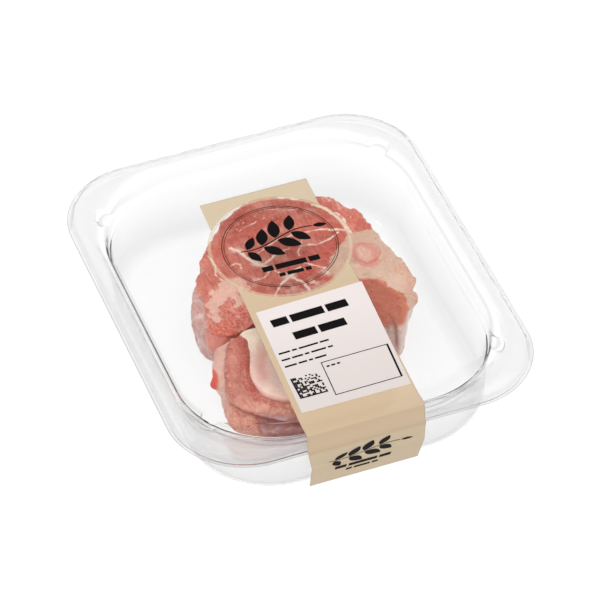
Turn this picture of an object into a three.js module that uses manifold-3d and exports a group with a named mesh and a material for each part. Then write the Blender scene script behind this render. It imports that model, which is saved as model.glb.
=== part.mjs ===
// A shut clear plastic pack that holds two slices of pork shank, with a paper-thin label
// folded over its front edge. Millimetres, +Z up. The origin is the middle of the tub's base,
// on the surface that the pack stands on. +X runs across the label, +Y from front to back.
import * as THREE from 'three';
import Module from 'manifold-3d';
import { mergeVertices } from 'three/addons/utils/BufferGeometryUtils.js';

const wasm = await Module();
wasm.setup();

// Pack, outside sizes
const RIM_HALF_X = 70;
const RIM_HALF_Y = 83.3;
const RIM_Z = 34.5;
const SKIRT_OUT = 2.4;
const SKIRT_Z = 32;
const RIDGE_RISE = 0.4;
const PANEL_Z = 33.9;
const GROOVE_Z = 33.5;
const LID_SHEET = 0.5;
const TUB_SHEET = 0.6;
const GAP = 0.3;

// Tub, insets from the lid's rim and heights
const FLANGE_Z = 32.2;
const FLANGE_INSET = -0.9;
const MOUTH_INSET = 7.8;
const LEDGE_Z = 26.5;
const LEDGE_STEP = 1.1;
const WALL_FOOT_INSET = 10.5;
const FOOT_RADIUS = 6;

// Lug on each lid corner
const LUG_ANGLE = 32.5;
const LUG_HALF_ANGLE = 5.5;
const LUG_DEPTH = 3.2;

// Label
const LABEL_SHEET = 0.25;
const LABEL_BACK_Y = 51.6;
const LABEL_FOLD_Y = -80.1;
const WINDOW_X = 0.55;
const WINDOW_Y = 19.1;
const WINDOW_RADIUS = 28;

// Meat
const MEAT_FLOOR = TUB_SHEET + GAP;
const BACK_TOP = 24.3;
const FRONT_TOP = 21.5;
const KNUCKLE_TOP = 23.6;
const SIDE_UNEVENNESS = 0.5;
const SMALL_BONE = { x: 34, y: 13.5, radius: 6.2 };

// Points round each outline
const BACK_POINTS = 76;
const FRONT_POINTS = 64;
const KNUCKLE_POINTS = 44;
const FAT_POINTS = 56;
const BONE_POINTS = 24;

// Angles of a corner's points, counted from its X side
const PLAIN_CORNER = [0, 12, 23, 34, 45, 56, 67, 78, 90];
const LUG_CORNER = [
  0, 11, 21,
  LUG_ANGLE - LUG_HALF_ANGLE, LUG_ANGLE - 4.4, LUG_ANGLE - 2.4,
  LUG_ANGLE,
  LUG_ANGLE + 2.4, LUG_ANGLE + 4.4, LUG_ANGLE + LUG_HALF_ANGLE,
  48, 62, 76, 90,
];

function solidFromGrid(rings, colour, name, look = {}) {
  const geometry = new THREE.BufferGeometry();
  const positions = rings.flat(2);
  const count = rings[0].length;
  const faces = [];
  for (let r = 0; r < rings.length - 1; r += 1) {
    for (let i = 0; i < count; i += 1) {
      const j = (i + 1) % count;
      const a = r * count + i;
      const b = r * count + j;
      faces.push(a, b, b + count, a, b + count, a + count);
    }
  }
  for (const [ring, flip] of [[0, true], [rings.length - 1, false]]) {
    const centre = positions.length / 3;
    const sum = [0, 0, 0];
    for (const point of rings[ring]) {
      point.forEach((value, axis) => { sum[axis] += value / count; });
    }
    positions.push(...sum);
    for (let i = 0; i < count; i += 1) {
      const a = ring * count + i;
      const b = ring * count + ((i + 1) % count);
      faces.push(...(flip ? [centre, b, a] : [centre, a, b]));
    }
  }
  geometry.setAttribute('position', new THREE.Float32BufferAttribute(positions, 3));
  geometry.setIndex(faces);
  if (signedVolume(geometry) < 0) {
    for (let f = 0; f < faces.length; f += 3) {
      [faces[f], faces[f + 1]] = [faces[f + 1], faces[f]];
    }
    geometry.setIndex(faces);
  }
  return name ? named(geometry, colour, name, look) : geometry;
}

function signedVolume(geometry) {
  const position = geometry.getAttribute('position');
  const index = geometry.getIndex();
  const corners = [new THREE.Vector3(), new THREE.Vector3(), new THREE.Vector3()];
  let volume = 0;
  for (let f = 0; f < index.count; f += 3) {
    corners.forEach((corner, k) => corner.fromBufferAttribute(position, index.getX(f + k)));
    volume += corners[0].dot(corners[1].clone().cross(corners[2])) / 6;
  }
  return volume;
}

function named(geometry, colour, name, look = {}) {
  geometry.computeVertexNormals();
  const material = new THREE.MeshStandardMaterial({ color: colour, metalness: 0, roughness: 0.5, ...look });
  const mesh = new THREE.Mesh(geometry, material);
  mesh.name = name;
  return mesh;
}

function toManifold(geometry) {
  const bare = geometry.clone();
  bare.deleteAttribute('normal');
  bare.deleteAttribute('uv');
  const merged = mergeVertices(bare, 1e-4);
  return new wasm.Manifold(new wasm.Mesh({
    numProp: 3,
    vertProperties: new Float32Array(merged.getAttribute('position').array),
    triVerts: new Uint32Array(merged.getIndex().array),
  }));
}

function fromManifold(solid) {
  const mesh = solid.getMesh();
  const geometry = new THREE.BufferGeometry();
  geometry.setAttribute('position', new THREE.Float32BufferAttribute(mesh.vertProperties, 3));
  geometry.setIndex([...mesh.triVerts]);
  return geometry;
}

// A rounded rectangle's ring of points, inset from the lid's rim
function packRing({ inset, z, radius, lug = 0 }, corner) {
  const centreX = RIM_HALF_X - inset - radius;
  const centreY = RIM_HALF_Y - inset - radius;
  const quadrants = [[1, 1], [-1, 1], [-1, -1], [1, -1]];
  return quadrants.flatMap(([signX, signY]) => {
    const points = corner.map((degrees) => {
      const angle = THREE.MathUtils.degToRad(degrees);
      const across = (degrees - LUG_ANGLE) / LUG_HALF_ANGLE;
      const reach = radius + lug * Math.sqrt(Math.max(0, 1 - across * across));
      return [
        signX * (centreX + reach * Math.cos(angle)),
        signY * (centreY + reach * Math.sin(angle)),
        z,
      ];
    });
    return signX * signY > 0 ? points : points.reverse();
  });
}

// The far face of a sheet whose near face has this section
function offsetSection(section, sheet) {
  return section.map((point, i) => {
    const before = section[Math.max(i - 1, 0)];
    const after = section[Math.min(i + 1, section.length - 1)];
    const run = after.inset - before.inset;
    const rise = after.z - before.z;
    const length = Math.hypot(run, rise);
    return {
      ...point,
      inset: point.inset - (sheet * rise) / length,
      z: point.z + (sheet * run) / length,
      radius: point.radius + (sheet * rise) / length,
    };
  });
}

function pressedSheet(section, sheet, corner) {
  const farSide = offsetSection(section, sheet).reverse();
  return [...section, ...farSide].map((point) => packRing(point, corner));
}

function makeLid() {
  const section = [
    { inset: 12, z: PANEL_Z, radius: 37 },
    { inset: 8.3, z: PANEL_Z, radius: 39.5, lug: LUG_DEPTH },
    { inset: 7.2, z: GROOVE_Z, radius: 39.8, lug: LUG_DEPTH },
    { inset: 6.4, z: GROOVE_Z, radius: 39.4, lug: LUG_DEPTH },
    { inset: 4.6, z: RIM_Z + 0.2, radius: 35.5 },
    { inset: 3.4, z: RIM_Z + RIDGE_RISE, radius: 33.4 },
    { inset: 2.6, z: RIM_Z + RIDGE_RISE, radius: 32.4 },
    { inset: 0.5, z: RIM_Z + 0.1, radius: 28.9 },
    { inset: -0.2, z: RIM_Z - 0.2, radius: 28.4 },
    { inset: -SKIRT_OUT, z: SKIRT_Z, radius: 30.7 },
  ];
  const look = { transparent: true, opacity: 0.25, roughness: 0.08 };
  return solidFromGrid(pressedSheet(section, LID_SHEET, LUG_CORNER), '#f4f7f7', 'lid', look);
}

function makeTub() {
  const footCentre = WALL_FOOT_INSET + FOOT_RADIUS;
  const section = [];
  for (let step = 0; step <= 4; step += 1) {
    const angle = (Math.PI / 2) * (step / 4);
    section.push({
      inset: footCentre - FOOT_RADIUS * Math.sin(angle),
      z: FOOT_RADIUS * (1 - Math.cos(angle)),
      radius: 27.5 + FOOT_RADIUS * Math.sin(angle),
    });
  }
  section.push(
    { inset: MOUTH_INSET + LEDGE_STEP + 0.5, z: LEDGE_Z - 0.6, radius: 37 },
    { inset: MOUTH_INSET + 0.4, z: LEDGE_Z, radius: 38 },
    { inset: MOUTH_INSET, z: FLANGE_Z - TUB_SHEET - 0.8, radius: 38.4 },
    { inset: MOUTH_INSET - 0.8, z: FLANGE_Z - TUB_SHEET, radius: 38.2 },
    { inset: FLANGE_INSET, z: FLANGE_Z - TUB_SHEET, radius: 29.4 },
  );
  const look = { transparent: true, opacity: 0.25, roughness: 0.08 };
  return solidFromGrid(pressedSheet(section, -TUB_SHEET, PLAIN_CORNER), '#f1f4f4', 'tub', look);
}

// The label's underside from its back end to the flap's end, as heights along Y
function labelPath() {
  const flat = PANEL_Z + GAP;
  const crest = RIM_Z + RIDGE_RISE + GAP;
  const path = [[LABEL_BACK_Y, flat]];
  for (let angle = 80; angle >= -80; angle -= 16) {
    path.push([WINDOW_Y + WINDOW_RADIUS * Math.sin(THREE.MathUtils.degToRad(angle)), flat]);
  }
  const skirtY = -(RIM_HALF_Y + SKIRT_OUT + GAP);
  path.push(
    [-55, flat],
    [1.5 - RIM_HALF_Y + 8.3, flat],
    [LABEL_FOLD_Y + 1.2, crest - 0.15],
    [LABEL_FOLD_Y - 0.4, crest],
    [-RIM_HALF_Y - 0.1, RIM_Z + GAP],
    [skirtY - 0.1, SKIRT_Z + 0.3],
    [skirtY, SKIRT_Z - 0.7],
    [-80.6, 18.5],
    [-73.2, 0.5],
  );
  return path;
}

// Middle line and half width of the label at a point of its path
function labelSpan(y, z) {
  const along = (LABEL_BACK_Y - y) / (LABEL_BACK_Y - LABEL_FOLD_Y);
  const half = THREE.MathUtils.lerp(22.15, 23.45, along);
  const middle = THREE.MathUtils.lerp(1.47, -3.15, along);
  if (z < PANEL_Z || y < LABEL_FOLD_Y) {
    const down = THREE.MathUtils.clamp((RIM_Z - z) / RIM_Z, 0, 1);
    const over = THREE.MathUtils.clamp((LABEL_FOLD_Y - y) / 5.5, 0, 1);
    return { half: 23.4 - 1.65 * down, middle: -3.15 - 2 * over + 2.2 * down };
  }
  const chord = WINDOW_RADIUS ** 2 - (y - WINDOW_Y) ** 2;
  if (chord > 0) {
    const bulge = Math.sqrt(chord);
    const low = Math.min(middle - half, WINDOW_X - bulge);
    const high = Math.max(middle + half, WINDOW_X + bulge);
    return { half: (high - low) / 2, middle: (high + low) / 2 };
  }
  return { half, middle };
}

function makeLabel() {
  const path = labelPath();
  const rings = path.map(([y, z], i) => {
    const before = path[Math.max(i - 1, 0)];
    const after = path[Math.min(i + 1, path.length - 1)];
    const length = Math.hypot(after[0] - before[0], after[1] - before[1]);
    const outY = ((after[1] - before[1]) / length) * LABEL_SHEET;
    const outZ = (-(after[0] - before[0]) / length) * LABEL_SHEET;
    const { half, middle } = labelSpan(y, z);
    return [
      [middle - half, y, z],
      [middle + half, y, z],
      [middle + half, y + outY, z + outZ],
      [middle - half, y + outY, z + outZ],
    ];
  });
  return solidFromGrid(rings, '#d0b999', 'label_band', { roughness: 0.55 });
}

// Plan outlines of the cut faces, each from its right end
const BACK_SLICE = [
  [47.8, -4.5], [47.2, 1.5], [45.4, 10], [44, 18], [43, 26], [41.4, 35], [37, 44.5], [31.5, 50.6],
  [25, 52.4], [15.5, 56.2], [6, 58], [-3.5, 57.2], [-11.8, 51.2], [-19.5, 43.2], [-27.4, 34.4],
  [-32, 26.5], [-35.2, 19], [-39, 10], [-40, 1], [-37.5, -7], [-30, -8.8], [-21, -5.2], [-11, -6.5],
  [3, -13.5], [17, -22], [27.5, -27.3], [34, -27.6], [39.2, -22], [44.4, -16.4], [45.2, -10],
];
const FRONT_SLICE = [
  [28, -32], [26, -40], [20.5, -48.5], [11.5, -53.2], [0, -54.8], [-12, -53.4], [-24, -50],
  [-32.6, -45.8], [-39.4, -39], [-41.2, -31], [-39.7, -21], [-39.4, -14], [-36.6, -9.8], [-29.5, -10],
  [-21, -6.8], [-11, -8.1], [2.5, -15.2], [15.5, -23], [24.6, -28.4],
];
const FAT_ZONE = [
  [52, -8], [52, 12], [48, 26], [41.2, 25.2], [34.6, 26.4], [29.5, 23.5], [25.6, 17.5], [21.5, 10.5],
  [20, 3], [22, -3], [28, -3.4], [34.2, -4.4], [38, -9], [39.4, -15], [38.2, -20.5], [34, -24.5],
  [35, -32], [46, -30], [52, -20],
];
const KNUCKLE = [
  [6, -24], [5.5, -33], [1, -41.5], [-7, -46.5], [-16, -47.5], [-23, -45.8], [-28, -41], [-30.4, -34],
  [-29.5, -26], [-26.4, -18], [-25.2, -14], [-26.4, -11.4], [-24.6, -9.6], [-19, -8.6], [-12, -9.8],
  [-6, -12], [2, -17],
];

function closedCurve(points) {
  return new THREE.CatmullRomCurve3(points.map(([x, y]) => new THREE.Vector3(x, y, 0)), true, 'centripetal');
}

// Points round a closed plan outline, moved outwards by grow
function outline(points, count, grow = 0) {
  const curve = closedCurve(points);
  const turn = Math.sign(THREE.ShapeUtils.area(points.map(([x, y]) => ({ x, y }))));
  return Array.from({ length: count }, (_, i) => {
    const u = i / count;
    const point = curve.getPointAt(u);
    const ahead = curve.getTangentAt(u);
    return [point.x + ahead.y * grow * turn, point.y - ahead.x * grow * turn];
  });
}

function centroid(points) {
  const total = points.reduce(([sumX, sumY], [x, y]) => [sumX + x, sumY + y], [0, 0]);
  return total.map((value) => value / points.length);
}

// Rings of a slice: share of the outline's reach, share of the slice's height
const SLICE_RINGS = [
  [0.45, 0], [0.91, 0], [0.975, 0.11], [1, 0.36], [1, 0.66], [0.992, 0.88], [0.968, 0.972],
  [0.925, 1], [0.8, 1], [0.65, 1], [0.5, 1], [0.35, 1], [0.2, 1],
];

// Places where the back slice's side is drawn in towards its foot
const BACK_TUCKS = [
  { x: 45, y: -14, width: 16, share: 0.15 },
  { x: -38, y: -4, width: 9, share: 0.05 },
];

function drawnIn(tucks, x, y, rise) {
  return tucks.reduce((sum, tuck) => {
    const away = (x - tuck.x) ** 2 + (y - tuck.y) ** 2;
    return sum + tuck.share * Math.exp(-away / tuck.width ** 2) * (1 - rise * rise);
  }, 0);
}

function sliceSolid(points, count, relief, unevenness, tucks = []) {
  const edge = outline(points, count);
  const [middleX, middleY] = centroid(edge);
  const rings = SLICE_RINGS.map(([reach, rise]) => edge.map(([x, y], i) => {
    const side = rise > 0.1 && rise < 0.9 ? unevenness * Math.sin(i * 1.3 + rise * 9) : 0;
    const spread = reach + side / Math.hypot(x - middleX, y - middleY) - drawnIn(tucks, x, y, rise);
    const px = middleX + (x - middleX) * spread;
    const py = middleY + (y - middleY) * spread;
    return [px, py, MEAT_FLOOR + rise * (relief(px, py) - MEAT_FLOOR)];
  }));
  return toManifold(solidFromGrid(rings));
}

// An upright prism over a closed plan outline
function prism(points, count, grow, low, high) {
  const shape = new THREE.Shape(outline(points, count, grow).map(([x, y]) => new THREE.Vector2(x, y)));
  const geometry = new THREE.ExtrudeGeometry(shape, { depth: high - low, bevelEnabled: false });
  geometry.translate(0, 0, low);
  return toManifold(geometry);
}

function lump(x, y, z, reachX, reachY, reachZ) {
  const geometry = new THREE.SphereGeometry(1, 12, 8);
  geometry.rotateX(Math.PI / 2);
  geometry.scale(reachX, reachY, reachZ);
  geometry.translate(x, y, z);
  return toManifold(geometry);
}

// Rises and hollows of the cut faces
const BACK_HILLS = [
  { x: -30, y: 5, width: 13, height: -2.6 },
  { x: -14, y: 12, width: 9, height: 1.1 },
  { x: -22, y: -3, width: 9, height: 1.2 },
  { x: 34, y: 14, width: 8, height: 1 },
  { x: 44, y: -8, width: 11, height: -3 },
  { x: 30, y: -14, width: 9, height: 0.9 },
  { x: 0, y: 45, width: 9, height: 0.7 },
  { x: -13, y: 30, width: 8, height: 0.6 },
  { x: 25, y: 37, width: 8, height: 0.8 },
  { x: 7, y: 17, width: 6, height: 0.9 },
  { x: 15, y: 1, width: 6, height: 0.8 },
];
const FRONT_HILLS = [
  { x: -34, y: -20, width: 8, height: 1.6 },
  { x: -36, y: -44, width: 9, height: -4 },
  { x: -22, y: -54, width: 9, height: -2.5 },
  { x: 24, y: -42, width: 12, height: -3 },
  { x: -41, y: -12, width: 6, height: -4 },
];
const KNUCKLE_HILLS = [
  { x: -22, y: -13, width: 8, height: 1.4 },
  { x: -14, y: -32, width: 9, height: -1.1 },
];

function hillsAt(hills, x, y) {
  return hills.reduce((sum, hill) => {
    const away = (x - hill.x) ** 2 + (y - hill.y) ** 2;
    return sum + hill.height * Math.exp(-away / hill.width ** 2);
  }, 0);
}

function backRelief(x, y) {
  const grain = 0.35 * Math.sin(x * 0.31 + 1.2 * Math.sin(y * 0.23)) + 0.3 * Math.sin(y * 0.37 - x * 0.12);
  return BACK_TOP + grain + hillsAt(BACK_HILLS, x, y);
}

function frontRelief(x, y) {
  return FRONT_TOP + 0.4 * Math.sin(x * 0.28 + y * 0.17) + hillsAt(FRONT_HILLS, x, y);
}

function knuckleRelief(x, y) {
  return KNUCKLE_TOP + hillsAt(KNUCKLE_HILLS, x, y);
}

const MEAT_LOOK = { roughness: 0.35 };
const CUTTER = [-2, BACK_TOP + 8];

function makeBackSlice() {
  const whole = sliceSolid(BACK_SLICE, BACK_POINTS, backRelief, SIDE_UNEVENNESS, BACK_TUCKS);
  const { x, y, radius } = SMALL_BONE;
  const boneOutline = Array.from({ length: 12 }, (_, i) => {
    const angle = (i / 12) * Math.PI * 2;
    return [x + radius * Math.cos(angle), y + radius * 0.92 * Math.sin(angle)];
  });
  const bone = whole.intersect(prism(boneOutline, BONE_POINTS, 0, ...CUTTER));
  const rest = whole.subtract(prism(boneOutline, BONE_POINTS, GAP, ...CUTTER));
  const fat = rest.intersect(prism(FAT_ZONE, FAT_POINTS, 0, ...CUTTER));
  const muscle = rest.subtract(prism(FAT_ZONE, FAT_POINTS, GAP, ...CUTTER));
  return [
    named(fromManifold(muscle), '#d1857a', 'slice_back_muscle', MEAT_LOOK),
    named(fromManifold(fat), '#e3bfa6', 'slice_back_fat', MEAT_LOOK),
    named(fromManifold(bone), '#e8a9a0', 'slice_back_bone', MEAT_LOOK),
  ];
}

function makeFrontSlice() {
  const folded = sliceSolid(FRONT_SLICE, FRONT_POINTS, frontRelief, SIDE_UNEVENNESS)
    .add(lump(-42, -24, 17.4, 2.6, 4.2, 3.6))
    .add(lump(-33.5, -37, 9, 9, 8.5, 6.5));
  const muscle = folded.subtract(prism(KNUCKLE, KNUCKLE_POINTS, GAP, ...CUTTER));
  const knuckle = sliceSolid(KNUCKLE, KNUCKLE_POINTS, knuckleRelief, 0);
  return [
    named(fromManifold(muscle), '#c9776b', 'slice_front_muscle', MEAT_LOOK),
    named(fromManifold(knuckle), '#dcbfb8', 'slice_front_knuckle', { roughness: 0.25 }),
  ];
}

const pack = new THREE.Group();
pack.add(makeTub(), makeLid(), makeLabel(), ...makeBackSlice(), ...makeFrontSlice());

export default pack;
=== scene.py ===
# A shut clear plastic pack with two slices of pork shank under a folded beige label.
# Lengths are in millimetres until a mesh is made, and metres from there on.
import math

import bpy
import numpy as np
from mathutils import Matrix, Vector


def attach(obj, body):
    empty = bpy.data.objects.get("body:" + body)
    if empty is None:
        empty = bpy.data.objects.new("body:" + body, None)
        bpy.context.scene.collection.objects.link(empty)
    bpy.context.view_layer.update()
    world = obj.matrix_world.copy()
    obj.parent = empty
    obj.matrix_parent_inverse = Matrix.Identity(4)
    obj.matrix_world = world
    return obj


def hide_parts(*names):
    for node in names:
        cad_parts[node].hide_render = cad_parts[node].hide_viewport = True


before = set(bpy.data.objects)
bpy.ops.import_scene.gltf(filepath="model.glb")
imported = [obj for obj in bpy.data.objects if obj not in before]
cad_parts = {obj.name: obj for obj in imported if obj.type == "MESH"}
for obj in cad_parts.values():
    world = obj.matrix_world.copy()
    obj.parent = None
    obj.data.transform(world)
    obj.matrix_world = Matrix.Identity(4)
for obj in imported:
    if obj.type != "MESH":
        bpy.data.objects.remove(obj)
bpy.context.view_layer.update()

MM = 0.001

# Pack, as in the solids
RIM_HALF_X = 70
RIM_HALF_Y = 83.3
RIM_Z = 34.5
SKIRT_OUT = 2.4
SKIRT_Z = 32
RIDGE_RISE = 0.4
PANEL_Z = 33.9
GROOVE_Z = 33.5
LID_SHEET = 0.5
TUB_SHEET = 0.6
GAP = 0.3
FLANGE_Z = 32.2
FLANGE_INSET = -0.9
MOUTH_INSET = 7.8
LEDGE_Z = 26.5
LEDGE_STEP = 1.1
WALL_FOOT_INSET = 10.5
FOOT_RADIUS = 6
LUG_ANGLE = 32.5
LUG_HALF_ANGLE = 5.5
LUG_DEPTH = 3.2

# Label, as in the solids
LABEL_SHEET = 0.25
LABEL_BACK_Y = 51.6
LABEL_FOLD_Y = -80.1
WINDOW_X = 0.55
WINDOW_Y = 19.1
WINDOW_RADIUS = 28
CLEAR_RADIUS = 26.7
FLAP_TOP = (-86.0, 31.3)
FLAP_FOOT = (-73.2, 0.5)
PRINT_Z = PANEL_Z + GAP + LABEL_SHEET

# Meat, as in the solids
MEAT_FLOOR = 0.9
BACK_TOP = 24.3
FRONT_TOP = 21.5
KNUCKLE_TOP = 23.6


# Meshes


def volume(points, faces):
    """Six times the volume inside faces with equal corner counts, negative where they look inwards."""
    first = points[faces[:, 0]]
    fans = zip(faces.T[1:-1], faces.T[2:])
    return sum(np.sum(first * np.cross(points[a], points[b])) for a, b in fans)


def make_object(name, points, blocks, smooth=True):
    """A closed mesh object from points in millimetres and blocks of faces with equal corner counts."""
    outwards = sum(volume(points, block) for block in blocks) > 0
    faces = [face for block in blocks for face in block[:, :: 1 if outwards else -1].tolist()]
    mesh = bpy.data.meshes.new(name)
    mesh.from_pydata(points * MM, [], faces, shade_flat=not smooth)
    mesh.validate()
    thing = bpy.data.objects.new(name, mesh)
    bpy.context.scene.collection.objects.link(thing)
    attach(thing, "root")
    return thing


def set_field(thing, name, values):
    """A number at each vertex, which a material reads by name."""
    attribute = thing.data.attributes.new(name, "FLOAT", "POINT")
    attribute.data.foreach_set("value", np.asarray(values, np.float32))


def set_paint(thing, name, colours):
    """A colour at each vertex, which a material reads by name."""
    full = np.column_stack([colours, np.ones(len(colours))]).astype(np.float32)
    attribute = thing.data.attributes.new(name, "FLOAT_COLOR", "POINT")
    attribute.data.foreach_set("color", full.ravel())


def ring_faces(rings, count):
    """Faces with four corners between stacked closed rings."""
    i = np.arange((rings - 1) * count)
    j = i - i % count + (i + 1) % count
    return np.stack([i, j, j + count, i + count], 1)


def skin(name, grid):
    """A closed mesh over stacked rings with a fan of triangles at either end, and its points."""
    rings, count = grid.shape[:2]
    points = np.vstack([grid.reshape(-1, 3), grid[0].mean(0), grid[-1].mean(0)])
    i = np.arange(count)
    j = np.roll(i, -1)
    tip, base = np.full(count, rings * count), (rings - 1) * count
    fans = [np.stack([tip, j, i], 1), np.stack([tip + 1, base + i, base + j], 1)]
    return make_object(name, points, [ring_faces(rings, count), *fans]), points


# Noise


def lattice(places, seed):
    """A steady random number from -1 to 1 for each lattice place."""
    spread = places.astype(np.uint32) * np.array([374761393, 668265263, 2246822519], np.uint32)
    h = spread.sum(1, dtype=np.uint32) + np.uint32(seed * 3266489917 & 0xFFFFFFFF)
    for shift, factor in ((15, 2246822519), (13, 3266489917), (16, 1)):
        h = (h ^ (h >> np.uint32(shift))) * np.uint32(factor)
    return h.astype(float) / 0xFFFFFFFF * 2 - 1


def noise(points, size, seed):
    """Smooth noise from -1 to 1 whose lumps are about size across."""
    p = np.asarray(points, float) / size + 1000.5
    base = np.floor(p).astype(np.int64)
    f = p - base
    f = f * f * f * (f * (f * 6 - 15) + 10)
    total = np.zeros(len(p))
    for corner in np.ndindex(2, 2, 2):
        near = np.where(corner, f, 1 - f)
        total += near[:, 0] * near[:, 1] * near[:, 2] * lattice(base + corner, seed)
    return total


def crags(points, size, octaves, seed):
    """Noise of several sizes, each half the last."""
    total = np.zeros(len(points))
    for octave in range(octaves):
        total += noise(points, size / 2**octave, seed + octave) * 0.5**octave
    return total


# Plan geometry


def runs(line):
    """How far along a broken line each of its corners lies."""
    return np.concatenate([[0], np.cumsum(np.linalg.norm(np.diff(line, axis=0), axis=1))])


def resample(line, run, at):
    """Points along a broken line, at these ways along it."""
    return np.stack([np.interp(at, run, column) for column in np.transpose(line)], 1)


def smooth_closed(points, count):
    """Evenly spaced points round a closed centripetal curve through the given ones."""
    p = np.asarray(points, float)
    t = np.linspace(0, 1, 40, endpoint=False)[:, None]
    fine = []
    for p0, p1, p2, p3 in zip(np.roll(p, 1, 0), p, np.roll(p, -1, 0), np.roll(p, -2, 0)):
        d1, d2, d3 = (np.linalg.norm(b - a) ** 0.5 for a, b in ((p0, p1), (p1, p2), (p2, p3)))
        m1 = d2 * ((p1 - p0) / d1 - (p2 - p0) / (d1 + d2) + (p2 - p1) / d2)
        m2 = d2 * ((p2 - p1) / d2 - (p3 - p1) / (d2 + d3) + (p3 - p2) / d3)
        a = 2 * p1 - 2 * p2 + m1 + m2
        b = -3 * p1 + 3 * p2 - 2 * m1 - m2
        fine.append(a * t**3 + b * t**2 + m1 * t + p1)
    loop = np.concatenate([*fine, fine[0][:1]])
    run = runs(loop)
    return resample(loop, run, np.arange(count) / count * run[-1])


def line_distance(xy, line, closed=False):
    """Distance from each point to a broken line."""
    line = np.asarray(line, float)
    ends = np.vstack([line, line[:1]]) if closed else line
    best = np.full(len(xy), 1e9)
    for a, b in zip(ends[:-1], ends[1:]):
        along = b - a
        t = np.clip(((xy - a) @ along) / max(along @ along, 1e-9), 0, 1)
        best = np.minimum(best, np.linalg.norm(xy - a - t[:, None] * along, axis=1))
    return best


def inside(xy, shape):
    """True for each point inside a closed plan shape."""
    shape = np.asarray(shape, float)
    x, y = xy[:, 0], xy[:, 1]
    found = np.zeros(len(xy), bool)
    for (ax, ay), (bx, by) in zip(shape, np.roll(shape, -1, 0)):
        cross = (ay > y) != (by > y)
        with np.errstate(divide="ignore", invalid="ignore"):
            edge = ax + (y - ay) * (bx - ax) / (by - ay)
        found ^= cross & (x < edge)
    return found


def depth_in(xy, shape):
    """Distance inside a closed plan shape, negative outside it."""
    away = line_distance(xy, shape, closed=True)
    return np.where(inside(xy, shape), away, -away)


def step(values, low, high):
    """An eased step from 0 at low to 1 at high."""
    t = np.clip((values - low) / (high - low), 0, 1)
    return t * t * (3 - 2 * t)


def bell(values):
    return np.exp(-(values**2))


def blob(xy, x, y, width):
    """A round bell over a plan place."""
    return np.exp(-((xy[:, 0] - x) ** 2 + (xy[:, 1] - y) ** 2) / width**2)


# Colours


def linear(r, g, b):
    """Linear colour from the 0 to 255 values of a screen."""
    c = np.array([r, g, b], float) / 255
    return np.where(c <= 0.04045, c / 12.92, ((c + 0.055) / 1.055) ** 2.4)


# How bright the studio lights a surface, what the lid adds and takes, and the share of light that the
# label lets through
LIGHTING = 1.42
LID_SHEEN = 0.02
LID_SHADE = 0.78
LET_THROUGH = 0.8


def tone(r, g, b):
    """Surface colour that shows as these screen values under the studio's light."""
    return (*np.minimum(linear(r, g, b) / LIGHTING, 0.95), 1)


def flesh_tone(r, g, b):
    """Surface colour that shows as these screen values below the lid, with its sheen and shade."""
    return np.clip((linear(r, g, b) - LID_SHEEN) / (LIGHTING * LID_SHADE), 0.002, 0.95)


def meat(r, g, b):
    """A flesh tone as a node's colour."""
    return (*flesh_tone(r, g, b), 1)


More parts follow.
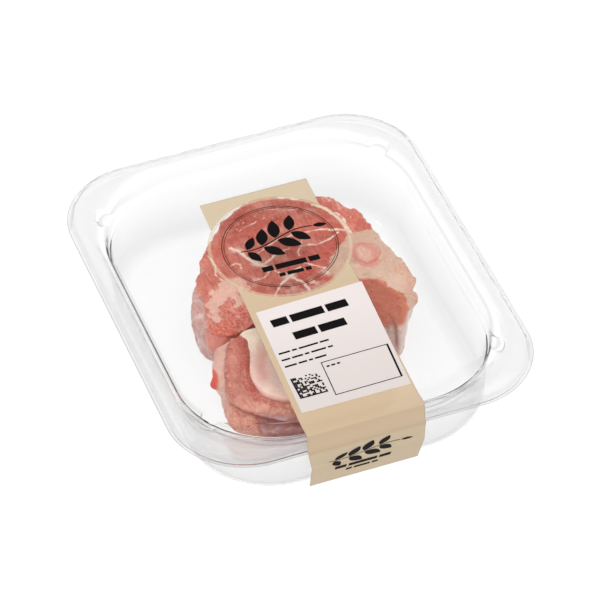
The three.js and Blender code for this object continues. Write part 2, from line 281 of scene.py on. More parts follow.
class Nodes:
    """The node tree of a material or the world, built with short calls that give sockets."""

    def __init__(self, name, world=False):
        self.owner = (bpy.data.worlds if world else bpy.data.materials).new(name)
        self.owner.use_nodes = True
        self.tree = self.owner.node_tree
        self.tree.nodes.clear()
        self.output = self.tree.nodes.new("ShaderNodeOutputWorld" if world else "ShaderNodeOutputMaterial")

    def add(self, kind, inputs=None, output=0, **settings):
        node = self.tree.nodes.new(kind)
        for key, value in settings.items():
            setattr(node, key, value)
        for key, value in (inputs or {}).items():
            if isinstance(value, bpy.types.NodeSocket):
                self.tree.links.new(value, node.inputs[key])
            else:
                node.inputs[key].default_value = value
        return node.outputs[output]

    def math(self, operation, a, b):
        return self.add("ShaderNodeMath", {0: a, 1: b}, operation=operation)

    def times(self, a, b):
        return self.math("MULTIPLY", a, b)

    def plus(self, a, b):
        return self.math("ADD", a, b)

    def span(self, value, low, high, to_low=0.0, to_high=1.0, curve="SMOOTHSTEP"):
        inputs = {"Value": value, "From Min": low, "From Max": high, "To Min": to_low, "To Max": to_high}
        return self.add("ShaderNodeMapRange", inputs, interpolation_type=curve)

    def mix(self, factor, a, b):
        return self.add("ShaderNodeMix", {0: factor, 6: a, 7: b}, 2, data_type="RGBA")

    def coats(self, colour, *rows):
        """The colour with coats over it: each row has a coat's colour and its share."""
        for tint, share in rows:
            colour = self.mix(share, colour, tint)
        return colour

    def place(self):
        return self.add("ShaderNodeTexCoord", output="Object")

    def part(self, axis):
        return self.add("ShaderNodeSeparateXYZ", {0: self.place()}, axis)

    def grain(self, size, detail=3.0, stretch=(1, 1, 1), rough=0.55):
        """Noise from 0 to 1 whose lumps are about size millimetres across."""
        place = self.add("ShaderNodeMapping", {"Vector": self.place(), "Scale": stretch})
        inputs = {"Vector": place, "Scale": 1 / (size * MM), "Detail": detail, "Roughness": rough}
        return self.add("ShaderNodeTexNoise", inputs, "Fac")

    def cells(self, size, output="Distance"):
        """Scattered cells about size millimetres across."""
        return self.add("ShaderNodeTexVoronoi", {"Vector": self.place(), "Scale": 1 / (size * MM)}, output)

    def field(self, name):
        return self.add("ShaderNodeAttribute", output="Fac", attribute_name=name)

    def paint(self, name):
        return self.add("ShaderNodeAttribute", output="Color", attribute_name=name)

    def bump(self, height, strength, distance):
        return self.add("ShaderNodeBump", {"Height": height, "Strength": strength, "Distance": distance * MM})

    def ray(self, kind):
        return self.add("ShaderNodeLightPath", output=kind)

    def clear(self, colour=(1, 1, 1, 1)):
        return self.add("ShaderNodeBsdfTransparent", {"Color": colour})

    def gloss(self, colour, roughness, shine=0.5, **more):
        """A glossy surface. In the names of its further inputs, _ stands for a space."""
        inputs = {"Base Color": colour, "Roughness": roughness, "Specular IOR Level": shine}
        inputs.update({name.replace("_", " "): value for name, value in more.items()})
        return self.add("ShaderNodeBsdfPrincipled", inputs)

    def either(self, factor, a, b):
        return self.add("ShaderNodeMixShader", {0: factor, 1: a, 2: b})

    def lit_through(self, shader):
        """The look, with most of the light let through to what lies below."""
        return self.either(self.times(self.ray("Is Shadow Ray"), LET_THROUGH), shader, self.clear())

    def finish(self, shader):
        self.tree.links.new(shader, self.output.inputs["Surface"])
        return self.owner


# Pack shells

# How far the plastic bends light, plainly and in the groove, the share of light that goes straight
# through the rim and the skirt's part of it, and the plastic's colours face on and edge on, and its painted
# shade on a fold
SHEET_BEND = 1.2
GROOVE_BEND = 1.08
STRAIGHT_LIGHT = 0.55
SKIRT_SHARE = 0.3
LID_TINT = 0.99
TUB_TINT = 0.965
THROUGH_COLOUR = (0.975, 0.975, 0.975, 1)
EDGE_COLOUR = (0.9, 0.9, 0.905, 1)
FOLD_SHADE_COLOUR = (0.6, 0.6, 0.61, 1)

# How much the painted shade on a fold fades at the back and front, and the painted shade and corner of the
# tub's foot
END_FADE = 0.65
FOOT_SHADE = 0.36
FOOT_CORNER = 27.5


def soften(rows, times):
    """Rows with their corners cut finer each time."""
    rows = np.asarray(rows, float)
    for _ in range(times):
        a, b = rows[:-1], rows[1:]
        cut = np.empty((2 * len(a), rows.shape[1]))
        cut[0::2] = 0.75 * a + 0.25 * b
        cut[1::2] = 0.25 * a + 0.75 * b
        rows = np.vstack([rows[:1], cut, rows[-1:]])
    return rows


def far_side(rows, sheet):
    """The far face of a sheet whose near face has these rows of inset, height, radius and lug."""
    padded = np.vstack([rows[:1], rows, rows[-1:]])
    run, rise = (padded[2:] - padded[:-2])[:, :2].T
    run, rise = np.array([run, rise]) * sheet / np.hypot(run, rise)
    moved = rows.copy()
    moved[:, :3] += np.stack([-rise, run, rise], 1)
    return moved


def pack_ring(row, angles):
    """Points round a rounded rectangle that is inset from the lid's rim, more so at the back and front."""
    inset, z, radius, lug, _, ease = row
    centre = np.array([RIM_HALF_X - inset - radius, RIM_HALF_Y - inset - radius])
    across = (angles - LUG_ANGLE) / LUG_HALF_ANGLE
    reach = radius + lug * np.sqrt(np.maximum(0, 1 - across**2))
    turn = np.radians(angles)
    corner = centre + np.stack([reach * np.cos(turn), reach * np.sin(turn)], 1)
    flipped = corner[::-1]
    loop = np.concatenate([corner, flipped * (-1, 1), -corner, flipped * (1, -1)])
    loop[:, 1] -= np.sign(loop[:, 1]) * ease * step(-np.abs(loop[:, 0]), -54, -38)
    return np.column_stack([loop, np.full(len(loop), z)])


def shell(name, section, sheet, angles, wave=0.0, inner_rings=22):
    """A pressed sheet: section rings from the flat middle outwards, and back on the far face."""
    near = soften(section, 3)
    rings = [pack_ring(row, angles) for row in near]
    rings += [pack_ring(row, angles) for row in far_side(near, sheet)[::-1]]

    def middle(ring):
        parts = []
        for share in np.linspace(0, 1, inner_rings, endpoint=False)[1:] ** 0.8:
            flat = ring * (share, share, 0)
            ripple = wave * step(1 - share, 0, 0.25) * (noise(flat, 34, 5) + 0.4 * noise(flat, 15, 9))
            parts.append(np.column_stack([flat[:, :2], ring[:, 2] + ripple]))
        return parts

    first = middle(rings[0])
    last = middle(rings[-1])[::-1]
    hub = np.tile([RIM_HALF_X, 0, 0], (len(first), 1))
    wanted = near[:, [0, 4, 5]]
    inset, fold_shade, ease = np.vstack([hub, wanted, wanted[::-1], hub]).T
    piece, points = skin(name, np.array(first + rings + last))

    def spread(values):
        return np.append(np.repeat(values, len(rings[0])), [0, 0])

    fade = END_FADE * step(spread(ease), 0, 1) * step(-np.abs(points[:, 0]), -58, -40)
    # Painted shade along each fold, fading at the back and front
    set_field(piece, "fold_shade", spread(fold_shade) * (1 - fade))
    set_field(piece, "groove", spread(step(-inset, -8.6, -8.0) * step(inset, 5.4, 6.2)))
    skirt = SKIRT_SHARE + (1 - SKIRT_SHARE) * step(inset, -0.6, 0.6)
    set_field(piece, "rim", spread(step(-inset, -6.6, -5.6) * skirt))
    return piece


def lid_section():
    """Inset, height, corner radius, lug, painted fold shade and ease of each bend of the lid."""
    return [
        (12, PANEL_Z, 37, 0, 0, 5),
        (8.3, PANEL_Z, 39.5, LUG_DEPTH, 0, 5),
        (7.95, PANEL_Z - 0.06, 39.7, LUG_DEPTH, 0.42, 4.5),
        (7.2, GROOVE_Z + 0.06, 39.8, LUG_DEPTH, 0.42, 1),
        (6.8, GROOVE_Z, 39.6, LUG_DEPTH, 0, 0),
        (6.3, GROOVE_Z, 39.2, LUG_DEPTH, 0, 0),
        (4.7, RIM_Z + 0.2, 35.6, 0, 0.08, 0),
        (3.4, RIM_Z + RIDGE_RISE, 33.4, 0, 0.22, 0),
        (2.6, RIM_Z + RIDGE_RISE, 32.4, 0, 0.06, 0),
        (0.5, RIM_Z + 0.1, 28.9, 0, 0.14, 0),
        (-0.2, RIM_Z - 0.2, 28.4, 0, 0.5, 0),
        (-SKIRT_OUT + 0.4, SKIRT_Z + 0.41, 30.3, 0, 0.3, 0),
        (-SKIRT_OUT, SKIRT_Z, 30.7, 0, 1, 0),
    ]


def tub_section():
    foot = WALL_FOOT_INSET + FOOT_RADIUS
    rows = []
    for angle in np.radians(np.linspace(0, 90, 7)):
        run = FOOT_RADIUS * math.sin(angle)
        # Painted shade grows round the foot's bend
        fold_shade = FOOT_SHADE * math.sin(angle)
        rows.append((foot - run, FOOT_RADIUS * (1 - math.cos(angle)), FOOT_CORNER + run, 0, fold_shade, 0))
    rows += [
        (MOUTH_INSET + LEDGE_STEP + 0.5, LEDGE_Z - 0.6, 37, 0, 0.04, 0),
        (MOUTH_INSET + 0.4, LEDGE_Z, 38, 0, 0.04, 0),
        (MOUTH_INSET, FLANGE_Z - TUB_SHEET - 0.8, 38.4, 0, 0.02, 0),
        (MOUTH_INSET - 0.8, FLANGE_Z - TUB_SHEET, 38.2, 0, 0.02, 0),
        (FLANGE_INSET, FLANGE_Z - TUB_SHEET, 29.4, 0, 0.02, 0),
    ]
    return rows


def clear_plastic(name, tint):
    """Clear sheet with painted shade along its sharp bends, and greyer where it is seen edge on.

    On the rim a part of the light goes straight through, and the groove bends light less. Both soften
    the dark lines along the folds.
    """
    n = Nodes(name)
    facing = n.add("ShaderNodeLayerWeight", {"Blend": 0.5}, "Facing")
    colour = n.mix(n.span(facing, 0.4, 1.0), (tint, tint, tint, 1), EDGE_COLOUR)
    colour = n.mix(n.field("fold_shade"), colour, FOLD_SHADE_COLOUR)
    bend = n.span(n.field("groove"), 0, 1, SHEET_BEND, GROOVE_BEND)
    sheet = n.gloss(colour, 0.03, IOR=bend, Transmission_Weight=1.0)
    straight = n.math("MAXIMUM", n.ray("Is Shadow Ray"), n.times(n.field("rim"), STRAIGHT_LIGHT))
    return n.finish(n.either(straight, sheet, n.clear(THROUGH_COLOUR)))


def build_pack():
    lug_angles = np.linspace(LUG_ANGLE - LUG_HALF_ANGLE, LUG_ANGLE + LUG_HALF_ANGLE, 19)
    angles = np.unique(np.concatenate([np.linspace(0, 90, 37), lug_angles]))
    lid = shell("lid_clear", lid_section(), LID_SHEET, angles, wave=0.1)
    lid.data.materials.append(clear_plastic("clear_lid", LID_TINT))
    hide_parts("lid")
    tub = shell("tub_clear", tub_section(), -TUB_SHEET, np.linspace(0, 90, 33))
    tub.data.materials.append(clear_plastic("clear_tub", TUB_TINT))
    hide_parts("tub")


# Label


def label_span(y, z):
    """Left and right edge of the label at a point of its path.

    It slants a little on the lid, widens to the window's disc and narrows down the flap.
    """
    along = (LABEL_BACK_Y - y) / (LABEL_BACK_Y - LABEL_FOLD_Y)
    half = 22.15 + 1.3 * along
    middle = 1.47 - 4.62 * along
    if z < PANEL_Z or y < LABEL_FOLD_Y:
        down = min(max((RIM_Z - z) / RIM_Z, 0), 1)
        over = min(max((LABEL_FOLD_Y - y) / 5.5, 0), 1)
        half, middle = 23.4 - 1.65 * down, -3.15 - 2 * over + 2.2 * down
    low, high = middle - half, middle + half
    chord = WINDOW_RADIUS**2 - (y - WINDOW_Y) ** 2
    if chord > 0 and z > PANEL_Z:
        low = min(low, WINDOW_X - math.sqrt(chord))
        high = max(high, WINDOW_X + math.sqrt(chord))
    return low, high


def spaced(rows, gap):
    """Points along a broken line, a set gap apart."""
    run = runs(rows)
    return resample(rows, run, np.linspace(0, run[-1], int(run[-1] / gap) + 1))


def slab(name, top, bottom):
    """A closed sheet between two grids of points."""
    loops = np.concatenate([top, bottom[:, ::-1]], axis=1)
    rows, count = loops.shape[:2]
    i = np.arange(count // 2 - 1)
    end = np.stack([i, count - 1 - i, count - 2 - i, i + 1], 1)
    faces = [ring_faces(rows, count), end, end[:, ::-1] + (rows - 1) * count]
    return make_object(name, loops.reshape(-1, 3), faces)


def label_path():
    flat = PANEL_Z + GAP
    crest = RIM_Z + RIDGE_RISE + GAP
    rise = [(-70, flat), (-74, flat), (-77, crest - 0.3), (LABEL_FOLD_Y - 0.2, crest)]
    fall = [(LABEL_FOLD_Y - 0.5, crest - 0.04), (-83.4, 34.5), (-86.1, 32.4), FLAP_TOP, (-84.0, 26.5)]
    return np.vstack([[(LABEL_BACK_Y, flat)], soften(rise, 2), soften(fall, 2), [FLAP_FOOT]])


def build_label():
    path = spaced(label_path(), 0.6)
    ahead = np.gradient(path, axis=0)
    ahead /= np.linalg.norm(ahead, axis=1)[:, None]
    out = np.stack([ahead[:, 1], -ahead[:, 0]], 1) * LABEL_SHEET
    bottom = np.array([[(x, y, z) for x in np.linspace(*label_span(y, z), 60)] for y, z in path])
    film = slab("label_film", bottom + np.insert(out, 0, 0, axis=1)[:, None], bottom)
    n = Nodes("label_film")
    centre = (WINDOW_X * MM, WINDOW_Y * MM, 0)
    flat = n.add("ShaderNodeVectorMath", {0: n.place(), 1: (1, 1, 0)}, operation="MULTIPLY")
    away = n.add("ShaderNodeVectorMath", {0: flat, 1: centre}, "Value", operation="DISTANCE")
    window = n.span(away, (CLEAR_RADIUS + 0.15) * MM, (CLEAR_RADIUS - 0.15) * MM)
    beige = n.mix(n.span(n.part("Y"), 0.045, -0.07), tone(220, 200, 169), tone(219, 194, 161))
    # Past the fold the beige darkens: painted shade from the crease down the flap's upper part, where the
    # label turns down over the rim. The same mask makes the flap's film a little more opaque.
    past_fold_shade = n.span(n.part("Y"), LABEL_FOLD_Y * MM, (LABEL_FOLD_Y - 0.7) * MM)
    beige = n.mix(past_fold_shade, beige, tone(199, 175, 144))
    beige = n.mix(n.span(n.part("Z"), 0.0325, 0.0305), beige, tone(218, 195, 160))
    hem = n.span(away, (WINDOW_RADIUS + 0.1) * MM, (WINDOW_RADIUS - 0.1) * MM, 0.78, 0.32)
    printed = n.gloss(beige, 0.5, 0.3, Alpha=n.plus(hem, n.times(past_fold_shade, 0.08)))
    look = n.either(window, printed, n.clear((0.99, 0.985, 0.98, 1)))
    film.data.materials.append(n.finish(n.lit_through(look)))
    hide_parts("label_band")


def on_top(lift):
    """Places plan points on the label's flat top."""
    return lambda xy: np.column_stack([xy, np.full(len(xy), PRINT_Z + lift)])


def on_flap(lift):
    """Places points on the front flap: x across, y up from the flap's upper edge."""
    run, drop = np.subtract(FLAP_FOOT, FLAP_TOP) / math.dist(FLAP_FOOT, FLAP_TOP)
    start = np.array([0, *FLAP_TOP]) + np.array([0, drop, -run]) * (LABEL_SHEET + lift)
    return lambda xy: start + np.outer(-xy[:, 1], (0, run, drop)) + np.outer(xy[:, 0], (1, 0, 0))


def print_shapes(name, shapes, where, material, lift=0.02, thick=0.03):
    """Flat printed shapes as one thin piece."""
    points, blocks, first = [], [], 0
    low, high = where(lift), where(lift + thick)
    for shape in shapes:
        x, y = shape.T
        shape = shape if np.sum(x * np.roll(y, -1) - np.roll(x, -1) * y) > 0 else shape[::-1]
        i = first + np.arange(len(shape))
        j, up = np.roll(i, -1), len(shape)
        blocks += [i[None] + up, i[None, ::-1], np.stack([i, j, j + up, i + up], 1)]
        points += [low(shape), high(shape)]
        first += 2 * up
    thing = make_object(name, np.concatenate(points), blocks, smooth=False)
    thing.data.materials.append(material)


def turned(points, turn):
    """Plan points turned about the origin."""
    c, s = math.cos(turn), math.sin(turn)
    return points @ np.array([(c, s), (-s, c)])


def box_shape(x, y, width, height, turn=0.0):
    corners = np.array([(0, 0), (width, 0), (width, height), (0, height)], float)
    return turned(corners, turn) + (x, y)


def stroke(start, end, width, past=0.18):
    """A straight line as a thin box, a little longer than the way between its ends."""
    ahead = (end - start) / np.linalg.norm(end - start)
    side = np.array([-ahead[1], ahead[0]]) * width / 2
    start, end = start - ahead * past, end + ahead * past
    return np.array([start - side, end - side, end + side, start + side])


def leaf(x, y, length, width, turn):
    t = np.linspace(0, 1, 13)
    half = width / 2 * np.sin(np.pi * t) ** 0.8 * (1 - 0.25 * t)
    outline = np.vstack([np.column_stack([t * length, half]), np.column_stack([t * length, -half])[-2:0:-1]])
    return turned(outline, turn) + (x, y)


def sprig(x, y, size, turn):
    """A plain leafy sprig, size wide, as separate shapes."""
    t = np.linspace(-1, 1, 25)
    stem = np.column_stack([t * 0.5, 0.07 * np.sin(t * 2.4)])
    ahead = np.gradient(stem, axis=0)
    side = np.column_stack([-ahead[:, 1], ahead[:, 0]])
    side /= np.linalg.norm(side, axis=1)[:, None]
    lean = np.arctan2(ahead[:, 1], ahead[:, 0])
    thick = 0.009
    shapes = [np.vstack([stem + side * thick, (stem - side * thick)[::-1]])]
    for at, length in ((2, 0.24), (7, 0.3), (12, 0.32), (17, 0.28)):
        for hand in (1, -1):
            base = stem[at] + side[at] * hand * 0.02
            shapes.append(leaf(*base, length, length * 0.56, lean[at] + hand))
    shapes.append(leaf(*(stem[-1] + (0.012, 0)), 0.18, 0.085, lean[-1]))
    return [turned(shape, turn) * size + (x, y) for shape in shapes]


def bars(rows, turn=0.0):
    """Rows of plain bars: each row has a place, the bars' widths, their height and the gap between."""
    shapes = []
    for x, y, widths, height, gap in rows:
        for width in widths:
            shapes.append(box_shape(x, y, width, height, turn))
            x += (width + gap) * math.cos(turn)
            y += (width + gap) * math.sin(turn)
    return shapes


def ring_line(name, radius, width, material, count=160):
    """A printed circle round the label's window."""
    t = np.linspace(0, 2 * math.pi, count, endpoint=False)
    circle = np.column_stack([np.cos(t), np.sin(t)])
    section = ((radius, 0.02), (radius, 0.05), (radius + width, 0.05), (radius + width, 0.02))
    points = np.concatenate([on_top(lift)(circle * reach + (WINDOW_X, WINDOW_Y)) for reach, lift in section])
    faces = ring_faces(len(section) + 1, count) % len(points)
    thing = make_object(name, points, [faces], smooth=False)
    thing.data.materials.append(material)


def build_print():
    n = Nodes("ink")
    ink = n.finish(n.gloss((*linear(15, 13, 14), 1), 0.7, 0.05))
    ring_line("print_ring_outer", 22.4, 0.3, ink)
    ring_line("print_ring_inner", 21.6, 0.2, ink)
    under = [(-10.6, 7.6, (4.4, 12.6, 4.4), 2.8, 0.9), (-5.4, 3.2, (2.4, 6.6, 2.4), 1.9, 0.8)]
    print_shapes("print_sprig", sprig(0.6, 23.4, 31, 0.04) + bars(under, -0.03), on_top, ink)

    n = Nodes("panel_white")
    white = n.mix(n.span(n.part("Y"), -0.01, -0.065), tone(242, 233, 231), tone(229, 219, 215))
    panel = n.finish(n.lit_through(n.gloss(white, 0.5, 0.3, Alpha=0.9)))
    corners = np.array([(-21.05, -11.9), (22.7, -10.2), (19.7, -67.8), (-23.8, -67.6)])
    print_shapes("print_panel", [corners], on_top, panel)
    text = [
        (-17.6, -21.8, (6.6, 13.4, 8.6), 4.0, 1.2),
        (-12.0, -30.8, (9.2, 10.8), 4.0, 1.2),
        (-20.9, -36.2, (4.6, 2.0, 7.8, 3.6), 0.85, 0.8),
        (-21.0, -39.8, (3.4, 4.4, 1.8, 6.0, 2.0), 0.85, 0.8),
        (-21.1, -43.4, (4.8, 3.4, 1.6, 4.6), 0.85, 0.8),
        (-6.4, -48.6, (1.2, 1.6, 1.2), 0.8, 0.7),
    ]
    lines = bars(text, 0.03)
    draw = np.random.default_rng(11)
    cell, cells = 0.74, 15
    for row in range(cells):
        for column in range(cells):
            if column == 0 or row == 0 or draw.random() < 0.48:
                at = (-21.6 + column * cell, -60.6 + row * cell)
                lines.append(box_shape(*at, cell * 0.94, cell * 0.94))
    box = np.array([(-7.6, -45.6), (19.1, -45.3), (18, -62.9), (-8.5, -63.2)])
    for k, width in enumerate((0.36, 0.75, 0.36, 0.36)):
        lines.append(stroke(box[k], box[(k + 1) % 4], width))
    print_shapes("print_lines", lines, on_top, ink, lift=0.06)
    under = [(-14.6, -22.4, (4.6, 11.4, 4.6), 2.6, 0.9), (-9.6, -26, (2.4, 6.4, 2.4), 1.7, 0.8)]
    print_shapes("print_flap", sprig(-4.4, -10.6, 28, 0.02) + bars(under), on_flap, ink)


# Meat

BACK_SLICE = [
    (47.8, -4.5), (47.2, 1.5), (45.4, 10), (44, 18), (43, 26), (41.4, 35), (37, 44.5), (31.5, 50.6),
    (25, 52.4), (15.5, 56.2), (6, 58), (-3.5, 57.2), (-11.8, 51.2), (-19.5, 43.2), (-27.4, 34.4),
    (-32, 26.5), (-35.2, 19), (-39, 10), (-40, 1), (-37.5, -7), (-30, -8.8), (-21, -5.2), (-11, -6.5),
    (3, -13.5), (17, -22), (27.5, -27.3), (34, -27.6), (39.2, -22), (44.4, -16.4), (45.2, -10),
]
FRONT_SLICE = [
    (28, -32), (26, -40), (20.5, -48.5), (11.5, -53.2), (0, -54.8), (-12, -53.4), (-24, -50),
    (-32.6, -45.8), (-39.4, -39), (-41.2, -31), (-39.7, -21), (-39.4, -14), (-36.6, -9.8), (-29.5, -10),
    (-21, -6.8), (-11, -8.1), (2.5, -15.2), (15.5, -23), (24.6, -28.4),
]
KNUCKLE = [
    (6, -24), (5.5, -33), (1, -41.5), (-7, -46.5), (-16, -47.5), (-23, -45.8), (-28, -41), (-30.4, -34),
    (-29.5, -26), (-26.4, -18), (-25.2, -14), (-26.4, -11.4), (-24.6, -9.6), (-19, -8.6), (-12, -9.8),
    (-6, -12), (2, -17),
]
BONE_PLACE = (34.0, 13.5)
BONE_RADIUS = 6.2
RING_PLACE = (33.3, 12.6)
RING_REACH = (5.9, 7.3)
BACK_TUCKS = [(45, -14, 16, 0.12), (-38, -4, 9, 0.05)]
SNUG = (-27, -9, 12)
FAT_RIGHT = [
    (54, -8), (54, 12), (48, 27), (44.3, 25.6), (41.1, 25.2), (38, 25.8), (35, 25.9), (32.4, 26.6),
    (30, 24.6), (26.4, 21.2), (23.6, 18.4), (19.4, 15.2), (16.6, 11), (17, 4), (20, 0.4), (27.5, 0),
    (31, -0.7), (35.2, -3.4), (38.3, -7.4), (39.7, -12.6), (39.1, -17.5), (37.6, -22.4), (34.8, -26.5),
    (36, -33), (46, -30), (54, -20),
]
FAT_LEFT = [
    (-22.8, 18.9), (-19.5, 18), (-16.3, 15.6), (-14.1, 13.3), (-15.5, 10.9), (-19.4, 10.2), (-19.7, 6.6),
    (-22.6, 5.4), (-24.4, 8.6), (-27, 10.4), (-28.6, 6), (-30.4, 1.2), (-34.4, -0.1), (-33.6, 6.2),
    (-31.3, 12.6), (-28, 15.8), (-25.3, 16.2),
]
GRAINY = [
    (-33.1, 8.4), (-30.4, 4.6), (-22.9, 9.5), (-14, 9), (-10, 2), (-19.1, -4), (-22.1, -6.8), (-26.1, -9),
    (-34.2, -10.8), (-38.2, -5.4), (-36.7, 2.2),
]
MEMBRANE = [(-34.8, 19.6), (-33.4, 14), (-35, 6.4), (-37, -2), (-38.3, -7), (-50, -8.5), (-50, 12), (-42, 20)]
SEAMS = [
    (0.7, [(24.5, 46.2), (27, 43.8), (28.8, 41.3), (30.9, 38), (31.9, 32.1), (32.3, 29), (32.6, 26.6)]),
    (0.35, [(31.6, 39.4), (33, 36.6), (32.9, 33.2), (32.6, 29)]),
    (0.4, [(22.1, 31.7), (25.9, 29.9), (31.4, 28.6)]),
    (0.32, [(11.7, 25.4), (13.6, 25.9), (17.4, 25), (20.9, 25.4), (24.1, 26), (28, 28)]),
    (0.3, [(9, 20.5), (9.2, 22.8), (10.6, 24.6), (11.7, 25.4), (12.5, 28), (16, 33), (22.1, 31.7)]),
    (0.42, [(-6, 21.5), (-1.4, 23.9), (0.9, 25.4), (3.6, 26.1), (6.6, 26.2)]),
    (0.7, [(-14.5, 34), (-11.5, 31.2), (-9.8, 26.8), (-8.1, 23.5), (-5, 20)]),
    (0.3, [(-5, 20), (-1, 15), (2.3, 11.7)]),
    (0.3, [(-8.6, 28), (-2, 30), (5, 33), (12.5, 34), (16, 33)]),
    (0.6, [(-2.7, 9.5), (-0.7, 10.4), (2.3, 11.7), (3.6, 8.8), (5.2, 6.4), (6, 2)]),
    (0.7, [(2.3, 11.7), (4.4, 13.6), (7, 14.4)]),
    (0.35, [(9, 17), (14, 14), (17, 11)]),
    (0.3, [(-7.1, 2), (-7.1, 4.4), (-5.5, 6.4), (-2.7, 9.5)]),
    (0.3, [(-17.2, 25.8), (-15.2, 26), (-13.9, 24.6), (-14.3, 22.6)]),
    (0.22, [(-8, 42.6), (-4.6, 43.9), (-0.9, 44.9), (4, 45.6)]),
    (0.22, [(6, 50), (12, 48), (18, 46.4)]),
    (0.3, [(-12.4, 13.4), (-8, 14.2), (-3.8, 17.8)]),
    (0.3, [(-24, 33), (-23, 28), (-24.4, 24), (-23, 20)]),
]
PALE_SPOTS = [
    (-7.2, 22.6, 3, 1), (15.7, 9.1, 2.4, 1), (9.6, 4.9, 2.6, 0.8), (-0.8, 4.8, 3, 0.5),
    (31.8, 47.8, 2.6, 0.7), (1.4, 11.6, 2.4, 1), (-13, 32, 2.4, 0.6), (5, 1, 3, 0.5),
]
SLICE_RINGS = [
    (0.45, 0), (0.91, 0), (0.975, 0.11), (1, 0.36), (1, 0.66), (0.992, 0.88), (0.968, 0.972),
    (0.925, 1), (0.85, 1),
]


def hills(xy, rows):
    """Round bells added up: each row has a place, a width and a height."""
    return sum(height * blob(xy, x, y, width) for x, y, width, height in rows)


def back_relief(xy):
    x, y = xy[:, 0], xy[:, 1]
    grain = 0.35 * np.sin(x * 0.31 + 1.2 * np.sin(y * 0.23)) + 0.3 * np.sin(y * 0.37 - x * 0.12)
    rows = [
        (-30, 5, 13, -2.6), (-14, 12, 9, 1.1), (-22, 0, 9, 1.2), (34, 14, 8, 1), (44, -8, 11, -3),
        (-21, -9, 8, -3.6), (30, -14, 9, 0.9), (0, 45, 9, 0.7), (-13, 30, 8, 0.6), (25, 37, 8, 0.8),
        (7, 17, 6, 0.9), (15, 1, 6, 0.8),
    ]
    return BACK_TOP + grain + hills(xy, rows)


def front_relief(xy):
    rows = [
        (-34, -20, 8, 1.6), (-36, -44, 9, -4), (-22, -54, 9, -2.5), (24, -42, 12, -3), (-41, -12, 6, -1.6),
        (-27, -12, 5, 1.2), (-18, -9, 5, 1.6), (-9, -10, 5, 1.6),
    ]
    return FRONT_TOP + 0.4 * np.sin(xy[:, 0] * 0.28 + xy[:, 1] * 0.17) + hills(xy, rows)


def knuckle_relief(xy):
    return KNUCKLE_TOP + hills(xy, [(-22, -13, 8, 1.4), (-14, -32, 9, -1.1)])


def slice_grid(shape, count, relief, profile, gap=0.5, tucks=(), lean=0.0):
    """A slice's skin as rings from the middle of its underside, up its side, to the middle of its top.

    With them come each point's share of the way out and of the way up.
    """
    edge = smooth_closed(shape, count)
    middle = edge.mean(0)
    rows = soften(profile, 3)
    reach = np.linalg.norm(edge - middle, axis=1).mean()
    inner = np.arange(rows[-1, 0] - gap / reach, 0.012, -gap / reach)
    under = np.linspace(0.02, rows[0, 0], 14, endpoint=False)
    flat = [(share, 0) for share in under]
    rows = np.vstack([flat, rows, [(share, 1) for share in inner]])
    drawn = np.zeros(count) + sum(share * blob(edge, x, y, width) for x, y, width, share in tucks)
    leaning = lean * blob(edge, *SNUG) / reach
    rings = []
    for share, rise in rows:
        spread = share - drawn * (1 - rise * rise) * min(share, 1)
        spread = spread + leaning * step(rise, 0.15, 0.5) * step(share, 0.6, 0.95)
        xy = middle + (edge - middle) * spread[:, None]
        z = MEAT_FLOOR + rise * (relief(xy) - MEAT_FLOOR)
        rings.append(np.column_stack([xy, z]))
    return np.array(rings), *np.repeat(rows, count, axis=0).T


def push(grid, amount, calm_rings=16):
    """The skin moved along its outward normals, less so underneath."""
    around = (np.roll(grid, -1, 1) - np.roll(grid, 1, 1)) / 2
    normal = np.cross(around, np.gradient(grid, axis=0))
    normal /= np.maximum(np.linalg.norm(normal, axis=2), 1e-9)[..., None]
    normal *= np.sign(normal[-5, :, 2].mean())
    calm = step(np.arange(len(grid)), calm_rings - 6, calm_rings + 6)[:, None]
    return grid + normal * (amount.reshape(grid.shape[:2]) * calm)[..., None]


def pull(grid, tags):
    """The skin drawn out into small tags: each has a place, a pull and a width."""
    for place, reach, width in tags:
        near = bell(np.linalg.norm(grid - place, axis=2) / width)
        grid = grid + near[..., None] * np.array(reach)
    return grid


def patchy(points, size, seed, low=-0.2, high=0.6):
    """Soft patches from 0 to 1, about size across."""
    return step(crags(points, size, 3, seed), low, high)


def plain(points, *screen):
    """One flesh tone at every point."""
    return np.tile(flesh_tone(*screen), (len(points), 1))


def coats(colour, rows):
    """The colours with coats over them: each row has a coat's flesh tone and its share at each point."""
    for screen, share in rows:
        colour = colour + (flesh_tone(*screen) - colour) * np.clip(share, 0, 1)[:, None]
    return colour


def seam_distance(xy):
    return np.min([line_distance(xy, line) - width for width, line in SEAMS], axis=0)


def ring_paint(points, colour):
    """The bone's pink ring and pale middle, painted over the bone and into the fat round it."""
    away = (points[:, :2] - RING_PLACE) / RING_REACH
    share = np.linalg.norm(away, axis=1) + 0.12 * crags(points, 3.4, 2, 79)
    side = np.arctan2(away[:, 1], away[:, 0])
    band = step(share, 0.42, 0.66) * step(share, 1.04, 0.8) * 0.9
    return coats(colour, [
        ((222, 160, 144), step(share, 1.1, 0.8)),
        ((221, 146, 136), band * step(np.cos(side - 2.5), 0, 0.9)),
        ((219, 144, 128), band * step(np.cos(side + 1.5), 0, 0.9)),
        ((229, 187, 168), step(share, 0.66, 0.36)),
    ])


def tallow_paint(points):
    """Pale fat with warmer patches."""
    return coats(plain(points, 210, 175, 153), [
        ((224, 192, 170), patchy(points, 8, 43, -0.2, 0.8)),
        ((218, 160, 144), patchy(points, 5, 45, 0.05, 0.9) * 0.7),
        ((214, 150, 126), step(points[:, 0], 40, 45) * step(-points[:, 1], -8, 4) * 0.5),
    ])


